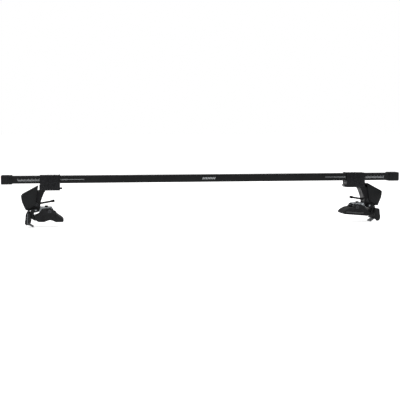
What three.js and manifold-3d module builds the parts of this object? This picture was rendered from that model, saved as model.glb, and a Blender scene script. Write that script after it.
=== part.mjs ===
import * as THREE from "three";
import { mergeVertices } from "three/addons/utils/BufferGeometryUtils.js";
import Module from "manifold-3d";

// A square steel roof cross bar with two clamp-on foot towers, in millimetres, +Z up.
// X runs along the bar, its middle is over the origin, and the hook lips stand at Z = 0.
// A tower is drawn in its own frame: u points along the bar towards its middle, v across
// the bar, w up from the bar's centre line, and u = 0 is the outer end of the bar clamp.

// The bar: a steel tube in a plastic jacket, closed by two caps.
const BAR_LENGTH = 1200; // over the caps
const BAR_DEPTH = 32;
const BAR_HEIGHT = 22;
const BAR_CORNER = 3.2;
const JACKET_WALL = 1.7;
const TUBE_WALL = 1.5;
const CAP_LENGTH = 31;
const CAP_END = 4; // thickness of the closed end
const CAP_WALL = 2;
const PLUG_LENGTH = 16;
const BAR_RISE = 138.866; // the bar's centre line over the hook lips
const TOWER_REACH = 490; // the bar's middle to the outer end of a clamp
const GAP = 0.3; // between pieces that touch

// The bar clamp: a strap over the bar, a jaw under it, and a wedge that lifts the jaw.
const CLAMP_LENGTH = 57.7;
const STRAP_HALF = 19.3; // outer half width of the strap
const STRAP_TOP = 12.8;
const STRAP_BOTTOM = -31.3;
const LIP_PROUD = 1; // rim at the strap's inner end, and its upright ribs
const RIB_PLACES = [23, 32, 43];
const RIB_WIDTH = 2.6;
const TRAY_HALF = 15.8;
const TRAY_WALL = 2.8;
const TRAY_FLOOR = -28.5;
const TRAY_BOTTOM = -31.8;
const JAW_HALF = 12.6;
const CLAMP_SCREW_W = -22;
const STRAP_SCREW = { u: 12, w: -22 };

// The tower post and what turns in it.
const POST_HALF = 19;
const POST_WALL = 3;
const HOOK_PIVOT = [-15, -47];
const BOLT_AT = [-21.05, -73.27]; // where the tension bolt crosses the hook plate
const BOLT_SLOPE = (9.9 * Math.PI) / 180; // the bolt rises towards the bar's middle
const BOLT_RADIUS = 3;
const NUT_BACK = 10.3; // plate to barrel nut, along the bolt
const COVER_PIN = [-38, -84];
const COVER_HALF = 24.3;
const COVER_WALL = 2.5;
const LOCK_W = -58;
const ARM_PIN = [-12, -87.5];
const PAD_PIN = [27.3, -91.4];
const PAD_HALF = 30;
const HEEL_RADIUS = 46.3; // the pad's heel is round about its pin
const PAD_TILT = { left: 0, right: 5 }; // toe up, degrees, as the pads stand
// Each shoe is moulded to its own side of the roof: the left arched, the right flat.
const SHOE = {
  left: {
    heelDrop: 27.2,
    sole: [
      [-4.5, -121.8, 2],
      [12, -121.8, 3],
      [20, -118.6, 4],
      [28, -116.4, 4],
      [36, -118.6, 4],
      [45.5, -123, 3],
      [65, -123, 2],
      [67.6, -118.8, 2],
      [63.4, -112.4, 2],
      [46.6, -100.5, 2],
    ],
  },
  right: {
    heelDrop: 23.4,
    sole: [
      [-9, -116.4, 2],
      [66, -116.4, 3],
      [68.4, -112, 3],
      [63.5, -104.6, 3],
      [50, -96.4, 3],
    ],
  },
};
const PLATE = 3; // thickness of the hook's steel
const HOOK_HALF = 38;
const LIP_HALF = 14; // the lip is a tongue, narrower than the hook above it
const BOOT_PROUD = 1.5; // the boot's side over the hook's edge
const BOOT_FLAP = 3; // the same on the side where a flap closes the boot
const NECK_HALF = 12.2;

const wasm = await Module();
wasm.setup();

/** A closed geometry as a manifold solid. */
function solid(geometry) {
  const bare = geometry.clone();
  bare.deleteAttribute("normal");
  bare.deleteAttribute("uv");
  const merged = mergeVertices(bare, 1e-4);
  return new wasm.Manifold(
    new wasm.Mesh({
      numProp: 3,
      vertProperties: new Float32Array(merged.attributes.position.array),
      triVerts: new Uint32Array(merged.index.array),
    }),
  );
}

/** A manifold solid as a geometry with flat normals. */
function surface(body) {
  const mesh = body.getMesh();
  const points = new Float32Array(mesh.numVert * 3);
  for (let i = 0; i < mesh.numVert; i += 1) {
    const from = i * mesh.numProp;
    points.set(mesh.vertProperties.subarray(from, from + 3), i * 3);
  }
  const geometry = new THREE.BufferGeometry();
  geometry.setAttribute("position", new THREE.BufferAttribute(points, 3));
  geometry.setIndex(new THREE.BufferAttribute(new Uint32Array(mesh.triVerts), 1));
  const flat = geometry.toNonIndexed();
  flat.computeVertexNormals();
  return flat;
}

/** Several overlapping geometries joined into one. */
function join(...geometries) {
  return surface(geometries.map(solid).reduce((a, b) => a.add(b)));
}

/** A geometry with others taken out of it. */
function cut(geometry, ...tools) {
  return surface(tools.map(solid).reduce((a, b) => a.subtract(b), solid(geometry)));
}

/** An outline whose corners [x, y, r] are rounded over up to a length r of each side. */
function softened(corners, steps = 2) {
  const out = [];
  corners.forEach(([x, y, r = 0], i) => {
    const at = new THREE.Vector2(x, y);
    if (r === 0) {
      out.push([x, y]);
      return;
    }
    const [bx, by] = corners[(i + corners.length - 1) % corners.length];
    const [ax, ay] = corners[(i + 1) % corners.length];
    const back = new THREE.Vector2(bx, by).sub(at);
    const next = new THREE.Vector2(ax, ay).sub(at);
    const reach = Math.min(r, 0.45 * back.length(), 0.45 * next.length());
    const start = at.clone().add(back.setLength(reach));
    const end = at.clone().add(next.setLength(reach));
    const bend = new THREE.QuadraticBezierCurve(start, at, end);
    bend.getPoints(steps).forEach((p) => out.push([p.x, p.y]));
  });
  return out;
}

/** A rectangle about the origin with round corners. */
function rounded(halfX, halfY, r) {
  const corners = [
    [halfX, -halfY, r],
    [halfX, halfY, r],
    [-halfX, halfY, r],
    [-halfX, -halfY, r],
  ];
  return softened(corners);
}

/** The outline of a bent strip of even thickness, from its centre line. */
function ribbon(line, thickness) {
  const near = [];
  const far = [];
  line.forEach(([x, y], i) => {
    const here = new THREE.Vector2(x, y);
    const back = new THREE.Vector2(...line[Math.max(i - 1, 0)]);
    const next = new THREE.Vector2(...line[Math.min(i + 1, line.length - 1)]);
    const before = here.clone().sub(back).normalize();
    const after = next.sub(here).normalize();
    const along = before.clone().add(after).normalize();
    const turn = i > 0 && i < line.length - 1 ? along.dot(before) : 1;
    const side = new THREE.Vector2(-along.y, along.x).multiplyScalar(thickness / 2 / turn);
    near.push([x + side.x, y + side.y]);
    far.unshift([x - side.x, y - side.y]);
  });
  return near.concat(far);
}

/** A flat shape with holes, from outlines. */
function shaped(outline, holes = []) {
  const shape = new THREE.Shape(outline.map(([x, y]) => new THREE.Vector2(x, y)));
  holes.forEach((hole) => {
    shape.holes.push(new THREE.Path(hole.map(([x, y]) => new THREE.Vector2(x, y))));
  });
  return shape;
}

/** An outline in u and w, thick from v0 to v1. */
function plate(outline, v0, v1) {
  const depth = v1 - v0;
  const geometry = new THREE.ExtrudeGeometry(shaped(outline), { depth, bevelEnabled: false });
  geometry.rotateX(Math.PI / 2);
  geometry.translate(0, v1, 0);
  return geometry;
}

/** An outline in v and w, long from u0 to u1, with holes running through it. */
function beam(outline, u0, u1, holes = [], steps = 1) {
  const options = { depth: u1 - u0, steps, bevelEnabled: false };
  const geometry = new THREE.ExtrudeGeometry(shaped(outline, holes), options);
  const turn = new THREE.Matrix4().set(0, 0, 1, u0, 1, 0, 0, 0, 0, 1, 0, 0, 0, 0, 0, 1);
  return geometry.applyMatrix4(turn);
}

/** A box between two limits on each axis. */
function block(u0, u1, v0, v1, w0, w1) {
  const geometry = new THREE.BoxGeometry(u1 - u0, v1 - v0, w1 - w0);
  geometry.translate((u0 + u1) / 2, (v0 + v1) / 2, (w0 + w1) / 2);
  return geometry;
}

/** A round bar between two points. */
function rod(from, to, radius, sides = 14) {
  const start = new THREE.Vector3(...from);
  const axis = new THREE.Vector3(...to).sub(start);
  const geometry = new THREE.CylinderGeometry(radius, radius, axis.length(), sides);
  const turn = new THREE.Quaternion();
  turn.setFromUnitVectors(new THREE.Vector3(0, 1, 0), axis.clone().normalize());
  geometry.applyQuaternion(turn);
  geometry.translate(...start.addScaledVector(axis, 0.5).toArray());
  return geometry;
}

/** A round bar across the tower at a place [u, w]. */
function crossRod([u, w], v0, v1, radius, sides = 14) {
  return rod([u, v0, w], [u, v1, w], radius, sides);
}

/** A profile [radius, height] turned about an axis that starts at a point. */
function turned(profile, from, direction, sides = 16) {
  const points = profile.map(([r, h]) => new THREE.Vector2(r, h));
  const geometry = new THREE.LatheGeometry(points, sides);
  const turn = new THREE.Quaternion();
  turn.setFromUnitVectors(new THREE.Vector3(0, 1, 0), new THREE.Vector3(...direction).normalize());
  geometry.applyQuaternion(turn);
  geometry.translate(...from);
  return geometry;
}

/** A point on the tension bolt's axis, a distance outwards from the hook plate. */
function onBolt(out) {
  const u = BOLT_AT[0] - out * Math.cos(BOLT_SLOPE);
  const w = BOLT_AT[1] - out * Math.sin(BOLT_SLOPE);
  return [u, 0, w];
}

/** The outward direction of the tension bolt. */
const BOLT_OUT = [-Math.cos(BOLT_SLOPE), 0, -Math.sin(BOLT_SLOPE)];

/** Points of the round heel about the pad pin, from one drop below it to another. */
function heelArc(radius, dropFrom, dropTo, steps = 4) {
  return Array.from({ length: steps + 1 }, (_, i) => {
    const drop = dropFrom + ((dropTo - dropFrom) * i) / steps;
    return [PAD_PIN[0] - Math.sqrt(radius * radius - drop * drop), PAD_PIN[1] - drop];
  });
}

const FINISHES = {
  steel: { color: 0x8f9296, roughness: 0.4, metalness: 1 },
  zinc: { color: 0xc3c6c8, roughness: 0.32, metalness: 1 },
  black_steel: { color: 0x1c1d1f, roughness: 0.5, metalness: 0.6 },
  plastic: { color: 0x1d1e20, roughness: 0.55, metalness: 0 },
  jacket: { color: 0x17181a, roughness: 0.45, metalness: 0 },
  rubber: { color: 0x242527, roughness: 0.85, metalness: 0 },
};

/** A named mesh with a finish of its own. */
function piece(name, geometry, finish) {
  const mesh = new THREE.Mesh(geometry, new THREE.MeshStandardMaterial(FINISHES[finish]));
  mesh.name = name;
  return mesh;
}

const BAR_END = BAR_LENGTH / 2 - CAP_END - 2 * GAP;

function barTube() {
  const halfDepth = BAR_DEPTH / 2 - JACKET_WALL - GAP;
  const halfHeight = BAR_HEIGHT / 2 - JACKET_WALL - GAP;
  const bore = rounded(halfDepth - TUBE_WALL, halfHeight - TUBE_WALL, 1);
  return beam(rounded(halfDepth, halfHeight, 2), -BAR_END, BAR_END, [bore]);
}

function barJacket() {
  const bore = rounded(BAR_DEPTH / 2 - JACKET_WALL, BAR_HEIGHT / 2 - JACKET_WALL, 2);
  const skin = rounded(BAR_DEPTH / 2, BAR_HEIGHT / 2, BAR_CORNER);
  return beam(skin, -BAR_END, BAR_END, [bore], 3);
}

// The cap is a sleeve over the jacket with a plug inside the tube, at the bar's +X end.
function endCap() {
  const end = BAR_LENGTH / 2;
  const clear = GAP + 0.05;
  const halfDepth = BAR_DEPTH / 2 + clear;
  const halfHeight = BAR_HEIGHT / 2 + clear;
  const skin = rounded(halfDepth + CAP_WALL, halfHeight + CAP_WALL, 4.6);
  const sleeve = cut(
    beam(skin, end - CAP_LENGTH, end),
    beam(rounded(halfDepth, halfHeight, 3.4), end - CAP_LENGTH - 1, end - CAP_END),
  );
  const inset = JACKET_WALL + TUBE_WALL + 2 * GAP + 0.1;
  const plug = rounded(BAR_DEPTH / 2 - inset, BAR_HEIGHT / 2 - inset, 1);
  return join(sleeve, beam(plug, end - CAP_END - PLUG_LENGTH, end - 1));
}

function strapOutline(proud) {
  const side = STRAP_HALF + proud;
  const top = STRAP_TOP + proud;
  const inner = BAR_DEPTH / 2 + GAP;
  const roof = BAR_HEIGHT / 2 + GAP;
  return softened([
    [side, STRAP_BOTTOM],
    [side, top, 5],
    [-side, top, 5],
    [-side, STRAP_BOTTOM],
    [-inner, STRAP_BOTTOM],
    [-inner, roof, 3.3],
    [inner, roof, 3.3],
    [inner, STRAP_BOTTOM],
  ]);
}

function clampStrap() {
  const ribs = RIB_PLACES.flatMap((u) =>
    [-1, 1].map((side) => {
      const inner = side * (STRAP_HALF - 0.5);
      const outer = side * (STRAP_HALF + LIP_PROUD);
      const v = [Math.min(inner, outer), Math.max(inner, outer)];
      return block(u - RIB_WIDTH / 2, u + RIB_WIDTH / 2, ...v, -28, 6);
    }),
  );
  const rim = beam(strapOutline(LIP_PROUD), CLAMP_LENGTH - 3, CLAMP_LENGTH);
  const body = join(beam(strapOutline(0), 0, CLAMP_LENGTH), rim, ...ribs);
  return cut(body, crossRod([STRAP_SCREW.u, STRAP_SCREW.w], -30, 30, 2));
}

// A pan-head screw that ties the strap to the tray; side is -1 or 1 along v.
function strapScrew(side) {
  const tip = side * (JAW_HALF + GAP + 0.05);
  const seat = side * (STRAP_HALF + GAP);
  const profile = [
    [0, 0],
    [3.6, 0],
    [3.4, 1.1],
    [2.4, 1.8],
    [0, 2],
  ];
  const { u, w } = STRAP_SCREW;
  const head = turned(profile, [u, seat, w], [0, side, 0], 12);
  return join(head, rod([u, tip, w], [u, seat + side * 0.4, w], 1.6, 10));
}

// The jaw bears on the bar's underside; two ramps below it lean on the wedge, and the
// high places beside them leave room for the wedge's crests as the jaw comes down.
function clampJaw() {
  const outline = [
    [9, -11.4],
    [57, -11.4],
    [57, -14.5],
    [53.3, -14.5],
    [53.3, -16],
    [33.3, -24],
    [33.3, -14.5],
    [29, -14.5],
    [29, -16],
    [9, -24],
  ];
  const way = block(0, 60, -3.5, 3.5, -30, -17.4);
  return cut(plate(outline, -JAW_HALF, JAW_HALF), way);
}

// The wedge slides on the tray's floor; its tongue sticks out of the clamp's inner end.
function clampWedge() {
  const outline = [
    [9.4, -28.2],
    [64, -28.2],
    [64, -24.2],
    [57.2, -24.2],
    [57.2, -16.3],
    [53.3, -16.3],
    [29.5, -25.82],
    [29, -25.82],
    [29, -16.3],
    [9.4, -24.14],
  ];
  const way = block(0, 47.5, -3.5, 3.5, -25.5, -10);
  const thread = rod([40, 0, CLAMP_SCREW_W], [60, 0, CLAMP_SCREW_W], 2.8);
  return cut(plate(outline, -JAW_HALF, JAW_HALF), way, thread);
}

function clampScrew() {
  const at = (u) => [u, 0, CLAMP_SCREW_W];
  const body = join(rod(at(0.4), at(5.4), 4.25, 18), rod(at(5), at(56), 2.5));
  return cut(body, rod(at(0), at(3), 2.3, 6));
}

// The tray under the bar that carries the jaw, the wedge and their screw.
function clampTray() {
  const outer = -1.5;
  const side = TRAY_HALF - TRAY_WALL;
  const tray = join(
    block(outer, CLAMP_LENGTH, -TRAY_HALF, TRAY_HALF, TRAY_BOTTOM, TRAY_FLOOR),
    block(outer, CLAMP_LENGTH, side, TRAY_HALF, TRAY_BOTTOM, -14.5),
    block(outer, CLAMP_LENGTH, -TRAY_HALF, -side, TRAY_BOTTOM, -14.5),
    block(outer, 8, -TRAY_HALF, TRAY_HALF, TRAY_BOTTOM, -15.5),
  );
  return cut(
    tray,
    rod([outer - 1, 0, CLAMP_SCREW_W], [5.7, 0, CLAMP_SCREW_W], 4.8, 18),
    rod([5, 0, CLAMP_SCREW_W], [9, 0, CLAMP_SCREW_W], 2.9),
    crossRod([STRAP_SCREW.u, STRAP_SCREW.w], -30, 30, 1.9),
  );
}

// The post's two cheeks, with the ears that carry the cover.
function postCheeks() {
  const outline = softened([
    [-7, -31.6],
    [16.5, -31.6],
    [13, -35.5, 3],
    [4.2, -57.2, 6],
    [0, -72, 6],
    [0, -84.5, 3],
    [-4, -92.2, 2],
    [-18, -92.2, 2],
    [-24, -88.4, 3],
    [-38, -88.2],
    [-38, -79.8],
    [-28, -76, 3],
    [-28.5, -60, 4],
    [-27, -45, 3],
    [-19, -35, 4],
  ]);
  return [-1, 1].map((side) => {
    const v = [side * POST_HALF, side * (POST_HALF - POST_WALL)].sort((a, b) => a - b);
    return join(plate(outline, ...v), crossRod(COVER_PIN, ...v, 4.2));
  });
}

// The post's inner wall, which the tension bolt passes through.
function postWeb() {
  const outline = [
    [13.3, -35],
    [4.2, -57.2],
    [0, -72],
    [0, -77.5],
    [-3.5, -77.5],
    [-3.5, -72.4],
    [0.6, -58],
    [9.6, -34],
  ];
  return plate(outline, -POST_HALF + 1, POST_HALF - 1);
}

// A finger that the lock's cam turns behind.
function lockKeeper() {
  return join(
    block(-27, -23, -POST_HALF + 1, POST_HALF - 1, -45.2, -41),
    block(-47, -24, -5, 5, -45.2, -43.2),
    block(-47, -44.8, -5, 5, -48.3, -43.2),
  );
}

function towerBody() {
  const body = join(
    clampTray(),
    ...postCheeks(),
    postWeb(),
    block(-6.5, 14, -POST_HALF, POST_HALF, -36, -31.6),
    lockKeeper(),
  );
  return cut(
    body,
    crossRod(HOOK_PIVOT, -30, 30, 2.8),
    crossRod([onBolt(-NUT_BACK)[0], onBolt(-NUT_BACK)[2]], -30, 30, 6.3, 18),
    crossRod(COVER_PIN, -30, 30, 2.3),
    crossRod(ARM_PIN, -30, 30, 3.3),
    rod(onBolt(-15), onBolt(-32), 3.9),
  );
}

function hookPivotPin() {
  return crossRod(HOOK_PIVOT, -19.4, 19.4, 2.5);
}

// A headed stub that the cover turns on; side is -1 or 1 along v.
function coverPin(side) {
  const head = COVER_HALF + GAP;
  const stub = crossRod(COVER_PIN, side * 16.2, side * (head + 0.5), 2);
  return join(stub, crossRod(COVER_PIN, side * head, side * (head + 1.6), 3.6));
}

// A thin shell, open towards the post and below, with a round hole for the lock.
function cover() {
  const skin = softened([
    [-5.5, -17.6, 2],
    [-53.9, -43.4, 3],
    [-53, -54.7, 3],
    [-51.2, -64, 3],
    [-45.6, -77, 3],
    [-42.3, -85, 2],
    [-38, -88.2, 3],
    [-33.5, -85.5, 2],
    [-14, -74, 3],
  ]);
  const room = softened([
    [12, -12.2],
    [-50.6, -44.4, 1.5],
    [-50.4, -54.5],
    [-48.8, -63.2],
    [-43.4, -76],
    [-38, -92],
    [12, -92],
  ]);
  const inner = COVER_HALF - COVER_WALL;
  return cut(
    plate(skin, -COVER_HALF, COVER_HALF),
    plate(room, -inner, inner),
    block(-9, 6, -inner, inner, -26, -8),
    block(-60, -30, -inner, inner, -95, -71),
    rod([-60, 0, LOCK_W], [-40, 0, LOCK_W], 8.4, 18),
    crossRod(COVER_PIN, -30, 30, 2.3),
  );
}

function lockCylinder() {
  const at = (u) => [u, 0, LOCK_W];
  const keyway = block(-57, -48, -0.9, 0.9, LOCK_W - 4.2, LOCK_W + 4.2);
  return cut(rod(at(-44.2), at(-52.2), 8, 18), keyway);
}

function lockCam() {
  const outline = softened([
    [-6, LOCK_W - 5, 2],
    [12.2, LOCK_W - 4, 2],
    [12.2, LOCK_W + 4, 2],
    [-6, LOCK_W + 5, 2],
  ]);
  return beam(outline, -43.9, -41.2);
}

// The hook: a pivot eye and a narrow neck inside the post, then a wide arm and a lip.
function hookPlate() {
  const neck = [
    [-17, -50],
    [-23, -62],
    [-19.2, -84.5],
    [-34.6, -91],
    [-35.3, -98],
  ];
  const arm = [
    [-35.16, -96],
    [-36.4, -124],
    [-34.6, -128.4],
    [-31, -130.8],
    [-20.3, -137.6],
  ];
  const body = join(
    crossRod(HOOK_PIVOT, -NECK_HALF, NECK_HALF, 5.5),
    plate(ribbon(neck, PLATE), -NECK_HALF, NECK_HALF),
    plate(ribbon(arm, PLATE), -HOOK_HALF, HOOK_HALF),
  );
  const down = [0.172 * 2.2, 0, -0.985 * 2.2];
  const lower = (out) => onBolt(out).map((value, i) => value + down[i]);
  return cut(
    body,
    block(-40, -18, LIP_HALF, HOOK_HALF + 1, -140, -129.6),
    block(-40, -18, -HOOK_HALF - 1, -LIP_HALF, -140, -129.6),
    crossRod(HOOK_PIVOT, -30, 30, 2.8),
    rod(onBolt(-6), onBolt(6), 3.8),
    rod(lower(-6), lower(6), 3.8),
  );
}

// The boot sits on the hook's outside; a flap closes it over one edge of the steel.
function hookBoot() {
  const outline = softened([
    [-37.1, -96],
    [-38.25, -124.1],
    [-36.5, -128.6],
    [-38.6, -130.2, 1],
    [-43, -126.5, 3],
    [-43.3, -120, 3],
    [-41.9, -112.4],
    [-40.6, -97.5, 2],
    [-39, -96, 1],
  ]);
  const flap = softened([
    [-40.6, -97.5, 2],
    [-41.9, -112.4],
    [-43.3, -120, 3],
    [-43, -128, 4],
    [-37, -134, 3],
    [-29.5, -133, 3],
    [-27.5, -124, 4],
    [-27.3, -98.5, 2],
    [-29, -96, 1],
    [-39, -96, 1],
  ]);
  const edge = HOOK_HALF + GAP;
  return join(
    plate(outline, -HOOK_HALF - BOOT_PROUD, edge + 1),
    plate(flap, edge, HOOK_HALF + BOOT_FLAP),
  );
}

function hookInnerPad() {
  const outline = softened([
    [-33.35, -96],
    [-34.6, -123.5],
    [-31.6, -125.4, 1.5],
    [-29.4, -121.5, 2],
    [-27.5, -111],
    [-27.3, -98.5, 2],
    [-29, -96, 1],
  ]);
  return plate(outline, -HOOK_HALF, HOOK_HALF);
}

function tensionBolt() {
  const body = join(
    rod(onBolt(12.7), onBolt(6.7), 5, 18),
    rod(onBolt(7), onBolt(-62), BOLT_RADIUS),
  );
  return cut(body, rod(onBolt(13), onBolt(9.5), 2.9, 6));
}

// The dome lets the washer roll on the plate as the hook swings.
function boltWasher() {
  const profile = [
    [3.3, 4.5],
    [3.3, 0],
    [5, 0.6],
    [6.4, 1.4],
    [7.5, 2.5],
    [7.5, 4.5],
    [3.3, 4.5],
  ];
  return turned(profile, onBolt(1.9), BOLT_OUT);
}

// A cap that guards the bolt's threaded end.
function boltTip() {
  const shell = rod(onBolt(-54), onBolt(-63.4), 3.9);
  return cut(shell, rod(onBolt(-53), onBolt(-62.3), BOLT_RADIUS + GAP));
}

function barrelNut() {
  const [u, , w] = onBolt(-NUT_BACK);
  return cut(crossRod([u, w], -18.8, 18.8, 6, 18), rod(onBolt(0), onBolt(-25), 3.3));
}

// Two ears and a top plate that reach from the post over the pad to the pad's pin.
function footArm() {
  const ear = softened([
    [-17.5, -84, 3],
    [-16, -80, 2],
    [33, -80, 3],
    [35.3, -86, 4],
    [35.3, -95, 5],
    [29, -99.4, 5],
    [20, -98, 5],
    [0, -93, 6],
    [-12, -93.2, 4],
    [-17.5, -91, 2],
  ]);
  const body = join(
    plate(ear, 12.7, 15.7),
    plate(ear, -15.7, -12.7),
    block(-15, 32.5, -15, 15, -83, -80),
  );
  return cut(
    body,
    crossRod(ARM_PIN, -30, 30, 3.3),
    crossRod(PAD_PIN, -30, 30, 4.3),
    rod([17.7, 0, -90], [17.7, 0, -70], 2.4),
  );
}

function armPin() {
  return join(
    crossRod(ARM_PIN, -31, 31, 3),
    crossRod(ARM_PIN, 30.3, 31.8, 4.4),
    crossRod(ARM_PIN, -31.8, -30.3, 4.4),
  );
}

function armKnob() {
  const profile = [
    [0, 0],
    [2.1, 0],
    [2.1, 4.8],
    [5.3, 4.8],
    [5.3, 6.6],
    [4.4, 8],
    [2.4, 8.6],
    [0, 8.7],
  ];
  return turned(profile, [17.7, 0, -84.5], [0, 0, 1]);
}

// A fixed block between the hook and the pad, hollowed round the pad's turning heel.
function heelBlock() {
  const outline = softened([
    [-26, -85, 2],
    [-26, -111.5, 2],
    [-13.4, -118.4],
    ...heelArc(HEEL_RADIUS + 1.2, 26, 6),
    [-19, -94.6],
    [-6.5, -93],
    [-6.5, -85, 3],
    [-22, -83.4, 3],
  ]);
  const clear = POST_HALF + GAP;
  return cut(
    plate(outline, -PAD_HALF, PAD_HALF),
    block(-30, 2, -clear, clear, -94.6, -80),
    crossRod(ARM_PIN, -40, 40, 3.3),
  );
}

// The rubber shoe that stands on the roof.
function roofPad({ heelDrop, sole }) {
  const outline = softened([
    ...heelArc(HEEL_RADIUS, 13.1, heelDrop),
    ...sole,
    [43.5, -94.6, 2],
    [38.2, -93, 2],
    [35.2, -87, 2],
    [31, -84, 2],
    [6, -84.5, 4],
    [1, -90, 4],
    [-6, -101, 4],
  ]);
  return cut(
    plate(outline, -PAD_HALF, PAD_HALF),
    block(-25, 41.5, -16.2, 16.2, -103, -70),
    block(-25, 5, -19.8, 19.8, -103, -70),
    crossRod(PAD_PIN, -40, 40, 4.3),
  );
}

function padPin() {
  const body = join(
    crossRod(PAD_PIN, -31, 31, 4),
    crossRod(PAD_PIN, 30.3, 32, 5.4),
    crossRod(PAD_PIN, -32, -30.3, 5.4),
  );
  return cut(body, crossRod(PAD_PIN, 30.6, 33, 2.4, 6), crossRod(PAD_PIN, -33, -30.6, 2.4, 6));
}

/** Turns the pad about its pin so that its toe rises by an angle in degrees. */
function tilted(geometry, degrees) {
  const turn = new THREE.Matrix4().makeRotationY((-degrees * Math.PI) / 180);
  const there = new THREE.Matrix4().makeTranslation(PAD_PIN[0], 0, PAD_PIN[1]);
  const back = there.clone().invert();
  return geometry.applyMatrix4(there.multiply(turn).multiply(back));
}

/** One tower's pieces; name is "left" or "right". */
function tower(name) {
  const pieces = [
    ["tower_body", towerBody(), "black_steel"],
    ["clamp_strap", clampStrap(), "black_steel"],
    ["strap_screw_a", strapScrew(-1), "steel"],
    ["strap_screw_b", strapScrew(1), "steel"],
    ["clamp_jaw", clampJaw(), "plastic"],
    ["clamp_wedge", clampWedge(), "zinc"],
    ["clamp_screw", clampScrew(), "zinc"],
    ["cover", cover(), "plastic"],
    ["cover_pin_a", coverPin(-1), "steel"],
    ["cover_pin_b", coverPin(1), "steel"],
    ["lock_cylinder", lockCylinder(), "zinc"],
    ["lock_cam", lockCam(), "steel"],
    ["hook_plate", hookPlate(), "zinc"],
    ["hook_boot", hookBoot(), "rubber"],
    ["hook_inner_pad", hookInnerPad(), "rubber"],
    ["hook_pivot_pin", hookPivotPin(), "steel"],
    ["tension_bolt", tensionBolt(), "black_steel"],
    ["bolt_washer", boltWasher(), "zinc"],
    ["bolt_tip", boltTip(), "plastic"],
    ["barrel_nut", barrelNut(), "zinc"],
    ["foot_arm", footArm(), "zinc"],
    ["arm_pin", armPin(), "zinc"],
    ["arm_knob", armKnob(), "rubber"],
    ["heel_block", heelBlock(), "plastic"],
    ["roof_pad", tilted(roofPad(SHOE[name]), PAD_TILT[name]), "rubber"],
    ["pad_pin", padPin(), "zinc"],
  ];
  const group = new THREE.Group();
  pieces.forEach(([part, geometry, finish]) => {
    group.add(piece(`${name}_${part}`, geometry, finish));
  });
  return group;
}

const part = new THREE.Group();

const bar = new THREE.Group();
bar.position.z = BAR_RISE;
bar.add(piece("bar_tube", barTube(), "steel"));
bar.add(piece("bar_jacket", barJacket(), "jacket"));
const rightCap = piece("end_cap_right", endCap(), "plastic");
const leftCap = piece("end_cap_left", endCap(), "plastic");
leftCap.rotation.z = Math.PI;
bar.add(rightCap, leftCap);
part.add(bar);

const left = tower("left");
left.position.set(-TOWER_REACH, 0, BAR_RISE);
part.add(left);

// The right tower is the left one turned half round about the upright axis.
const right = tower("right");
right.position.set(TOWER_REACH, 0, BAR_RISE);
right.rotation.z = Math.PI;
part.add(right);

export default part;
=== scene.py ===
"""A square roof cross bar on two clamp-on foot towers, dressed over its fixed frame."""

import logging
import math
from dataclasses import dataclass
from enum import Enum

import bmesh
import bpy
import numpy as np
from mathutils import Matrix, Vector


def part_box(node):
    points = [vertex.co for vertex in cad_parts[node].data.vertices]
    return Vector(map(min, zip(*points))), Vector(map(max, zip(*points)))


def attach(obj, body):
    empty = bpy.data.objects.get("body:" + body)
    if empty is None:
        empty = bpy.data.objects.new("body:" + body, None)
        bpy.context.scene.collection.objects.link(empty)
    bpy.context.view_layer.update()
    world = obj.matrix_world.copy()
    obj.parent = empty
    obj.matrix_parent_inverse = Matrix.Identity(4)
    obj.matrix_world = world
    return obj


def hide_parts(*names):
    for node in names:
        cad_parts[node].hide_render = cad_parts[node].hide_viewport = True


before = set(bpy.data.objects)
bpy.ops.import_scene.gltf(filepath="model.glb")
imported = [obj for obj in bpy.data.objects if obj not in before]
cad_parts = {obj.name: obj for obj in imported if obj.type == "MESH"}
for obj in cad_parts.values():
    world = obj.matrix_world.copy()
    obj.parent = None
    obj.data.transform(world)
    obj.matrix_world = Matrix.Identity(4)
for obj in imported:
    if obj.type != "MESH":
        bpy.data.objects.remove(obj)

LOG = logging.getLogger("cross_bar")
MM = 0.001
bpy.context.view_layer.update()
PLAY = 0.3  # millimetres between pieces that touch
ROOT = 0.3  # how far a raised rib reaches into the piece that it stands on
SIDE_SHARE = 0.45  # the most of a side that one round corner takes up
CREASE = 35.0  # degrees; faces that meet flatter than this are shaded as one
SCUFF_SCALE = 420.0  # scuffs to the metre: 2.4 mm apart, as coarse as they need to show


# ---------------------------------------------------------------- shapes


class Carry(Enum):
    """The way an outline is carried: across the bar, or along it."""

    ACROSS = "an outline in u and w, thick along v"
    ALONG = "an outline in v and w, long along u"


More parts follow.
